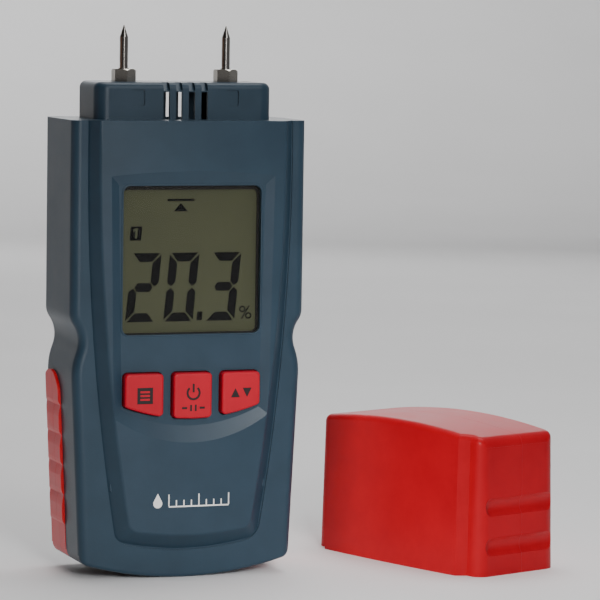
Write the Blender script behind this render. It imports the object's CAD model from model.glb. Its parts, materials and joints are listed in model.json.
"""Looks of the handheld moisture meter and of its protective cap beside it.

Metres, in the CAD's frame: +Z up along the meter, the display faces -Y, the foot at z = 0.
"""

import json
import math

import bmesh
import bpy
from mathutils import Matrix, Vector


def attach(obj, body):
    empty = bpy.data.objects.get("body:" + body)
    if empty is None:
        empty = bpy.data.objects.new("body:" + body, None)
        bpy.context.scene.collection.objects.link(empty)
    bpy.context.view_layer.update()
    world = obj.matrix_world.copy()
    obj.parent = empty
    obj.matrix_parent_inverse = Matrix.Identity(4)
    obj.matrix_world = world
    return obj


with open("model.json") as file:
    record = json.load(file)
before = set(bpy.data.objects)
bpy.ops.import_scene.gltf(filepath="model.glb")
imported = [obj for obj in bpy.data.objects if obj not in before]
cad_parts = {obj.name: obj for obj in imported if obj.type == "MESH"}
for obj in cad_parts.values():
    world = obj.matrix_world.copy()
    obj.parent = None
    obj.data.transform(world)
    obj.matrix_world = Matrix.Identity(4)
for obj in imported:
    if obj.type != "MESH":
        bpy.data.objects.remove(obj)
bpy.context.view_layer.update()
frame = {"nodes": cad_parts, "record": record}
nodes = frame["nodes"]
MM = 0.001

# places in the CAD, in millimetres
PANEL_FRONT = 16.4          # the front panel's face is this far in front of y = 0
PANEL_BOW = 520.0           # radius of that face's bow
DISPLAY_FACE = -12.0
KEY_FACE = -17.2
CAP_PLACE = (79.4, 1.0)
CAP_TURN = 69.8             # degrees, clockwise seen from above
CAP_SEAM = 2.4              # the mould's parting line lies this far behind the cap's own y = 0
PARTING_LINE = (CAP_PLACE[0] * math.sin(math.radians(CAP_TURN))
                + CAP_PLACE[1] * math.cos(math.radians(CAP_TURN)) + CAP_SEAM) * MM

# printed marks, in millimetres
INK_THICK = 0.03
INK_ROOT = 0.01             # how far a mark is sunk into its face
INK_STEP = 0.04             # a mark printed on another mark stands this much further out
SLANT = math.tan(math.radians(5.5))

# the photo's camera
HEADING = 20.298            # degrees clockwise from +Y
PITCH = 5.217               # degrees below the horizon
ROLL = 0.87                 # degrees, verticals lean right going up
EYE = (-0.2917, -0.8894, 0.1620)
LENS = 201.8                # focal length, on a sensor 36 wide


# ---------------------------------------------------------------- node helpers

class Tree:
    """Short way to write a material's node tree."""

    def __init__(self, name):
        self.material = bpy.data.materials.new(name)
        self.material.use_nodes = True
        self.tree = self.material.node_tree
        self.tree.nodes.clear()
        self.shader = self.tree.nodes.new("ShaderNodeBsdfPrincipled")
        out = self.tree.nodes.new("ShaderNodeOutputMaterial")
        self.tree.links.new(self.shader.outputs[0], out.inputs[0])
        self.place = self.tree.nodes.new("ShaderNodeTexCoord").outputs["Object"]

    def add(self, kind, settings=None, inputs=None):
        node = self.tree.nodes.new(kind)
        for key, value in (settings or {}).items():
            setattr(node, key, value)
        for key, value in (inputs or {}).items():
            self.put(node.inputs[key], value)
        return node

    def put(self, socket, value):
        if isinstance(value, bpy.types.NodeSocket):
            self.tree.links.new(value, socket)
        else:
            socket.default_value = value

    def set(self, **values):
        names = {"color": "Base Color", "rough": "Roughness", "metal": "Metallic",
                 "normal": "Normal", "ior": "IOR", "specular": "Specular IOR Level",
                 "alpha": "Alpha"}
        for key, value in values.items():
            self.put(self.shader.inputs[names[key]], value)
        return self

    def noise(self, scale, detail=3.0, rough=0.5, stretch=None):
        place = self.place
        if stretch is not None:
            mapping = self.add("ShaderNodeMapping", None, {"Vector": place, "Scale": stretch})
            place = mapping.outputs[0]
        return self.add("ShaderNodeTexNoise", None, {
            "Vector": place, "Scale": scale, "Detail": detail, "Roughness": rough}).outputs["Fac"]

    def ramp(self, value, stops):
        node = self.add("ShaderNodeValToRGB", None, {"Fac": value})
        marks = node.color_ramp.elements
        while len(marks) < len(stops):
            marks.new(0.5)
        for mark, (place, color) in zip(marks, stops):
            mark.position = place
            mark.color = (*color, 1.0)
        return node.outputs["Color"]

    def spread(self, value, low, high):
        return self.add("ShaderNodeMapRange", None, {
            "Value": value, "To Min": low, "To Max": high}).outputs["Result"]

    def bump(self, height, strength, distance, under=None):
        inputs = {"Height": height, "Strength": strength, "Distance": distance}
        if under is not None:
            inputs["Normal"] = under
        return self.add("ShaderNodeBump", None, inputs).outputs["Normal"]


def linear(code):
    """Linear colour from an sRGB hex code."""
    parts = [int(code[n:n + 2], 16) / 255 for n in (0, 2, 4)]
    return tuple(c / 12.92 if c <= 0.04045 else ((c + 0.055) / 1.055) ** 2.4 for c in parts)


def tinted(color, factor):
    return tuple(min(1.0, channel * factor) for channel in color)


# ---------------------------------------------------------------- materials

def moulded(name, code, rough=0.42, grain=2600.0, depth=0.00006, strength=0.35, specular=0.3):
    """Injection-moulded plastic: fine spark-eroded grain, slight mottling, worn sheen."""
    tree = Tree(name)
    color = linear(code)
    mottle = tree.noise(90.0, 4.0, 0.6)
    fine = tree.noise(grain, 2.0, 0.6)
    tree.set(color=tree.ramp(mottle, [(0.25, tinted(color, 0.90)), (0.75, tinted(color, 1.10))]),
             rough=tree.spread(mottle, rough - 0.05, rough + 0.07), specular=specular,
             normal=tree.bump(fine, strength, depth))
    return tree.material


def metal(name, code, rough):
    """Machined metal with faint tool marks."""
    tree = Tree(name)
    color = linear(code)
    marks = tree.noise(900.0, 3.0, 0.6, (1.0, 1.0, 8.0))
    stain = tree.noise(240.0, 3.0, 0.6)
    tree.set(color=tree.ramp(stain, [(0.3, tinted(color, 0.86)), (0.7, color)]), metal=1.0,
             rough=tree.spread(marks, rough * 0.7, rough * 1.4),
             normal=tree.bump(marks, 0.1, 0.00004))
    return tree.material


def clear_plastic():
    """Clear window: see-through, with a thin reflection and a trace of haze."""
    tree = Tree("lens_clear")
    haze = tree.noise(60.0, 3.0, 0.5)
    tree.set(color=(0.02, 0.02, 0.02, 1.0), ior=1.45, alpha=tree.spread(haze, 0.10, 0.13),
             rough=tree.spread(haze, 0.05, 0.10))
    return tree.material


def cap_plastic():
    """The cap's red plastic, with the mould's faint parting line across its crown and ends."""
    tree = Tree("cap_plastic")
    color = linear("c0041a")
    mottle = tree.noise(70.0, 4.0, 0.6)
    fine = tree.noise(2400.0, 2.0, 0.6)
    turn = math.radians(CAP_TURN)
    across = tree.add("ShaderNodeVectorMath", {"operation": "DOT_PRODUCT"}, {
        0: tree.place, 1: (math.sin(turn), math.cos(turn), 0.0)}).outputs["Value"]
    off = tree.add("ShaderNodeMath", {"operation": "SUBTRACT"}, {0: across, 1: PARTING_LINE})
    away = tree.add("ShaderNodeMath", {"operation": "ABSOLUTE"}, {0: off.outputs[0]}).outputs[0]
    seam = tree.add("ShaderNodeMapRange", None, {
        "Value": away, "From Min": 0.00006, "From Max": 0.00018, "To Min": 1.0,
        "To Max": 0.0}).outputs["Result"]
    grained = tree.bump(fine, 0.35, 0.00006)
    tree.set(color=tree.ramp(mottle, [(0.25, tinted(color, 0.90)), (0.75, tinted(color, 1.10))]),
             rough=tree.spread(mottle, 0.32, 0.44), specular=0.2,
             normal=tree.bump(seam, 0.7, 0.0001, grained))
    return tree.material


MATERIALS = {
    "case_plastic": moulded("case_plastic", "263947", 0.36),
    "grip_rubber": moulded("grip_rubber", "cc0a18", 0.36, 1800.0, specular=0.4),
    "key_plastic": moulded("key_plastic", "b00320", 0.42, 2400.0, specular=0.25),
    "cap_plastic": cap_plastic(),
    "lens_clear": clear_plastic(),
    "lcd_grey": moulded("lcd_grey", "4c4f34", 0.5, 900.0, 0.000004, 0.03),
    "surround_black": moulded("surround_black", "17130f", 0.5),
    "diffuser_white": moulded("diffuser_white", "dedcd2", 0.5),
    "strip_rubber": moulded("strip_rubber", "6d6b74", 0.6),
    "switch_plastic": moulded("switch_plastic", "151515", 0.35),
    "board_green": moulded("board_green", "114d27", 0.35),
    "chip_black": moulded("chip_black", "161617", 0.5),
    "resistor_black": moulded("resistor_black", "1d1c1b", 0.3),
    "capacitor_tan": moulded("capacitor_tan", "a58a62", 0.4),
    "capacitor_sleeve": moulded("capacitor_sleeve", "20263a", 0.3),
    "led_white": moulded("led_white", "ece9dc", 0.2),
    "pin_steel": metal("pin_steel", "8e8a86", 0.14),
    "collar_nickel": metal("collar_nickel", "b2aea6", 0.22),
    "bush_brass": metal("bush_brass", "c19c55", 0.25),
    "lug_tinned": metal("lug_tinned", "b9b7ae", 0.3),
    "lead_red": moulded("lead_red", "9c1a1a", 0.5),
    "lead_black": moulded("lead_black", "171717", 0.5),
    "cell_wrap": moulded("cell_wrap", "3a4148", 0.3),
    "spring_steel": metal("spring_steel", "b0b0ae", 0.25),
    "screw_steel": metal("screw_steel", "3b3b3c", 0.35),
    "label_grey": moulded("label_grey", "b9bcbe", 0.55),
}
for part in frame["record"]["subparts"]:
    mesh = nodes[part["node"]].data
    mesh.materials.clear()
    mesh.materials.append(MATERIALS[part["material_slot"]])


# ---------------------------------------------------------------- printed marks and display

def placed(name, shape, material, smooth=False):
    """Object of the scene made from a bmesh, with one material."""
    mesh = bpy.data.meshes.new(name)
    shape.to_mesh(mesh)
    shape.free()
    for face in mesh.polygons:
        face.use_smooth = smooth
    mesh.materials.append(material)
    made = bpy.data.objects.new(name, mesh)
    bpy.context.scene.collection.objects.link(made)
    return made


def flat(y):
    """A face of constant depth y."""
    return lambda x: y


def bowed(x):
    """Depth of the front panel's bowed face at x."""
    return PANEL_BOW - PANEL_FRONT - math.sqrt(PANEL_BOW ** 2 - x * x)


def print_marks(name, outlines, face, body, color):
    """Thin raised prints, each a convex outline in x and z laid on a face of depth face(x)."""
    shape = bmesh.new()
    for outline in outlines:
        front, back = ([shape.verts.new((x * MM, (face(x) + out) * MM, z * MM))
                        for x, z in outline] for out in (-INK_THICK, INK_ROOT))
        shape.faces.new(front)
        shape.faces.new(list(reversed(back)))
        count = len(outline)
        for n in range(count):
            following = (n + 1) % count
            shape.faces.new((front[n], back[n], back[following], front[following]))
    bmesh.ops.recalc_face_normals(shape, faces=shape.faces)
    mark = placed(name, shape, INKS[color])
    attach(mark, body)


def bar(left, right, low, high):
    return [(left, low), (right, low), (right, high), (left, high)]


def band(centre, radius, width, start, end, steps=28):
    """A ring's arc from start to end degrees, as short straight pieces."""
    x, z = centre
    pieces = []
    for n in range(steps):
        a, b = (math.radians(start + (end - start) * (n + k) / steps) for k in (0, 1))
        pieces.append([(x + r * math.cos(t), z + r * math.sin(t)) for r, t in (
            (radius - width / 2, a), (radius + width / 2, a),
            (radius + width / 2, b), (radius - width / 2, b))])
    return pieces


def slanted(outline, foot):
    return [(x + (z - foot) * SLANT, z) for x, z in outline]


def digit(left, foot, lit):
    """Seven-segment digit; lit names its segments a to g."""
    wide, tall, thick, gap = 8.55, 19.0, 2.45, 0.42
    half = tall / 2
    segments = {
        "a": [(gap, tall), (thick, tall - thick), (wide - thick, tall - thick), (wide - gap, tall)],
        "d": [(gap, 0), (wide - gap, 0), (wide - thick, thick), (thick, thick)],
        "g": [(thick / 2 + gap, half), (thick, half - thick / 2), (wide - thick, half - thick / 2),
              (wide - thick / 2 - gap, half), (wide - thick, half + thick / 2),
              (thick, half + thick / 2)],
        "e": [(0, gap), (thick - 0.05, thick + gap), (thick - 0.05, half - thick / 2 - gap / 2),
              (thick / 2, half - gap / 2), (0, half - thick / 2)],
    }
    segments["f"] = [(x, tall - z) for x, z in segments["e"]]
    segments["c"] = [(wide - x, z) for x, z in segments["e"]]
    segments["b"] = [(wide - x, tall - z) for x, z in segments["e"]]
    return [slanted([(left + x, foot + z) for x, z in segments[name]], foot) for name in lit]


def make_display_marks():
    foot = 71.3
    outlines = digit(-18.25, foot, "abged") + digit(-7.3, foot, "abcdef")
    outlines += digit(4.9, foot, "abgcd")
    outlines.append(slanted(bar(2.35, 3.95, foot + 0.2, foot + 2.6), foot))
    outlines += band((15.75, 74.4), 0.72, 0.42, 0, 360) + band((17.55, 72.55), 0.72, 0.42, 0, 360)
    outlines.append([(15.3, 71.65), (15.75, 71.65), (18.0, 75.35), (17.55, 75.35)])
    outlines.append(slanted(bar(-17.2, -13.9, 93.75, 97.65), 93.75))
    outlines.append(bar(-6.4, 1.4, 104.5, 105.15))
    outlines.append([(-4.6, 101.7), (-0.4, 101.7), (-2.5, 103.95)])
    print_marks("display_segments", outlines, flat(DISPLAY_FACE), "meter", "segment")
    one = [slanted(bar(-15.7, -15.05, 94.4, 97.1), 94.4),
           slanted([(-16.35, 96.1), (-15.7, 96.45), (-15.7, 97.1), (-16.35, 96.75)], 94.4)]
    print_marks("display_channel_number", one, flat(DISPLAY_FACE - INK_STEP), "meter", "display")


def make_key_marks():
    face = flat(KEY_FACE)
    print_marks("menu_mark", [bar(-16.1, -11.6, 49.2, 53.7)], face, "menu_key", "black")
    lines = [bar(-15.2, -12.5, z, z + 0.55) for z in (50.15, 51.2, 52.25)]
    print_marks("menu_mark_lines", lines, flat(KEY_FACE - INK_STEP), "menu_key", "red")
    power = band((0.1, 51.95), 1.75, 0.62, 130, 410) + [bar(-0.2, 0.4, 52.1, 54.5)]
    hold = [bar(-0.85, -0.3, 46.9, 48.7), bar(0.5, 1.05, 46.9, 48.7),
            bar(-3.2, -1.7, 47.5, 48.1), bar(1.9, 3.4, 47.5, 48.1)]
    print_marks("power_mark", power + hold, face, "power_key", "black")
    arrows = [[(11.0, 50.4), (13.6, 50.4), (12.3, 53.0)],
              [(14.4, 53.0), (17.0, 53.0), (15.7, 50.4)]]
    print_marks("set_mark", arrows, face, "set_key", "black")


def make_panel_marks():
    """White droplet with a tick scale, in place of wording."""
    middle, radius = (-9.6, 21.4), 1.3
    drop = [(middle[0] + radius * math.cos(math.radians(a)),
             middle[1] + radius * math.sin(math.radians(a))) for a in range(-210, 31, 15)]
    drop.append((middle[0], 24.2))
    outlines = [drop]
    start, pitch, foot, line_top = -6.4, 2.175, 20.2, 20.6
    for n in range(8):
        x = start + n * pitch
        outlines.append(bar(x, x + pitch, foot, line_top))
    for n in range(9):
        x = start + n * pitch
        outlines.append(bar(x - 0.17, x + 0.17, line_top, 23.8 if n % 4 == 0 else 22.2))
    print_marks("panel_mark", outlines, bowed, "meter", "white")


def make_window_lip():
    """Fine raised lip moulded round the window's opening."""
    half, foot, top, corner, depth, steps = 19.9, 68.0, 108.9, 2.0, 14.88, 8
    path = []
    for x, z, start in ((half, top, 0), (-half, top, 90), (-half, foot, 180), (half, foot, 270)):
        middle = (x - math.copysign(corner, x), z - corner if z == top else z + corner)
        for n in range(steps + 1):
            turn = math.radians(start + n * 90 / steps)
            path.append((middle, math.cos(turn), math.sin(turn)))
    section = [(-0.02, -0.10), (-0.02, 0.10), (0.12, 0.20), (0.34, 0.20), (0.50, 0.06),
               (0.54, -0.10)]
    shape = bmesh.new()
    rings = [[shape.verts.new(((m[0] + (corner + out) * c) * MM, -(depth + up) * MM,
                               (m[1] + (corner + out) * s) * MM)) for out, up in section]
             for m, c, s in path]
    for n, ring in enumerate(rings):
        after = rings[(n + 1) % len(rings)]
        for k in range(len(section)):
            follow = (k + 1) % len(section)
            shape.faces.new((ring[k], after[k], after[follow], ring[follow]))
    bmesh.ops.recalc_face_normals(shape, faces=shape.faces)
    lip = placed("window_lip", shape, MATERIALS["case_plastic"], smooth=True)
    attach(lip, "meter")


INKS = {
    "segment": moulded("segment_ink", "040404", 0.5, 900.0, 0.00001, 0.05, 0.1),
    "display": MATERIALS["lcd_grey"],
    "black": moulded("black_ink", "1c1112", 0.45, 2400.0, 0.00002, 0.1),
    "red": MATERIALS["key_plastic"],
    "white": moulded("white_ink", "e9e7e2", 0.45, 2400.0, 0.00002, 0.1),
}
make_window_lip()
make_display_marks()
make_key_marks()
make_panel_marks()


# ---------------------------------------------------------------- floor, light, camera

def floor():
    """Plain pale ground that curves up into a backdrop."""
    tree = Tree("floor_pale")
    grain = tree.noise(8.0, 2.0, 0.5)
    tree.set(color=tree.ramp(grain, [(0.3, (0.86, 0.86, 0.86)), (0.7, (0.89, 0.89, 0.89))]),
             rough=0.75)
    bend = 1.2
    rows = [(y, 0.0) for y in (-3.0, bend)]
    rows += [(bend + bend * math.sin(a), bend - bend * math.cos(a))
             for a in [math.radians(9 * n) for n in range(1, 11)]]
    rows.append((2 * bend, 4.0))
    shape = bmesh.new()
    edge = [[shape.verts.new((x, y, z)) for y, z in rows] for x in (-4.0, 4.0)]
    for n in range(len(rows) - 1):
        shape.faces.new((edge[0][n], edge[1][n], edge[1][n + 1], edge[0][n + 1]))
    placed("floor", shape, tree.material, smooth=True)


def soft_light(name, where, aim, size, power, color=(1.0, 1.0, 1.0), spread=180.0):
    """Rectangular lamp aimed at a point, unseen by the camera."""
    data = bpy.data.lights.new(name, "AREA")
    data.shape = "RECTANGLE"
    data.size, data.size_y = size
    data.energy = power
    data.color = color
    data.spread = math.radians(spread)
    lamp = bpy.data.objects.new(name, data)
    lamp.location = where
    lamp.rotation_euler = (Vector(aim) - Vector(where)).to_track_quat("-Z", "Y").to_euler()
    lamp.visible_camera = False
    bpy.context.scene.collection.objects.link(lamp)
    return lamp


def for_cap(lamp, state):
    """Makes a lamp light only the cap, or everything but the cap."""
    group = bpy.data.collections.new(lamp.name + "_cap")
    group.objects.link(nodes["cap_shell"])
    group.collection_objects[0].light_linking.link_state = state
    lamp.light_linking.receiver_collection = group


def light():
    """A dim world, dark brown towards -X, and the lamps."""
    world = bpy.data.worlds.new("studio")
    bpy.context.scene.world = world
    world.use_nodes = True
    nodes_in = world.node_tree.nodes
    place = nodes_in.new("ShaderNodeTexCoord")
    split = nodes_in.new("ShaderNodeSeparateXYZ")
    ramp = nodes_in.new("ShaderNodeValToRGB")
    ramp.color_ramp.elements[0].position = 0.0
    ramp.color_ramp.elements[0].color = (0.030, 0.022, 0.017, 1.0)
    ramp.color_ramp.elements[1].position = 0.75
    ramp.color_ramp.elements[1].color = (0.30, 0.30, 0.31, 1.0)
    link = world.node_tree.links.new
    half = nodes_in.new("ShaderNodeMapRange")
    half.inputs["From Min"].default_value = -1.0
    link(place.outputs["Generated"], split.inputs[0])
    link(split.outputs["X"], half.inputs["Value"])
    link(half.outputs["Result"], ramp.inputs["Fac"])
    link(ramp.outputs["Color"], nodes_in["Background"].inputs[0])
    nodes_in["Background"].inputs[1].default_value = 0.9
    front = soft_light("key_light", (0.2, -1.0, 0.8), (0.0, 0.0, 0.08), (0.5, 0.5), 3.4)
    for_cap(front, "EXCLUDE")
    side = soft_light("cap_light", (-0.35, -0.45, 0.28), (0.08, 0.0, 0.02), (0.25, 0.25), 3.0)
    for_cap(side, "INCLUDE")
    soft_light("warm_light", (-1.0, 0.15, 0.25), (0.0, 0.0, 0.07), (0.5, 0.5), 0.3,
               (1.0, 0.42, 0.18))
    soft_light("back_light", (0.5, 1.0, 0.4), (0.05, 0.0, 0.05), (0.9, 0.45), 1.6)
    low = soft_light("panel_light", (-0.03, -0.5, 0.18), (0.05, 0.0, 0.02), (0.12, 0.12), 0.12,
                     spread=40.0)
    for_cap(low, "EXCLUDE")
    soft_light("top_light", (0.15, 0.15, 1.0), (0.05, 0.0, 0.05), (0.7, 0.5), 5.5)
    soft_light("backdrop_light", (0.3, 0.8, 1.6), (0.3, 2.3, 0.7), (1.0, 0.4), 14.0, spread=110.0)


def camera():
    """The photo's view, with a long lens."""
    heading, pitch, roll = (math.radians(angle) for angle in (HEADING, PITCH, ROLL))
    ahead = Vector((math.sin(heading) * math.cos(pitch), math.cos(heading) * math.cos(pitch),
                    -math.sin(pitch)))
    right = Vector((math.cos(heading), -math.sin(heading), 0.0))
    up = right.cross(ahead)
    side = right * math.cos(roll) + up * math.sin(roll)
    top = up * math.cos(roll) - right * math.sin(roll)
    data = bpy.data.cameras.new("camera")
    data.lens = LENS
    data.sensor_width = 36.0
    data.clip_end = 20.0
    eye = bpy.data.objects.new("camera", data)
    turn = Matrix((side, top, -ahead)).transposed()
    eye.matrix_world = Matrix.Translation(EYE) @ turn.to_4x4()
    bpy.context.scene.collection.objects.link(eye)
    bpy.context.scene.camera = eye


floor()
light()
camera()
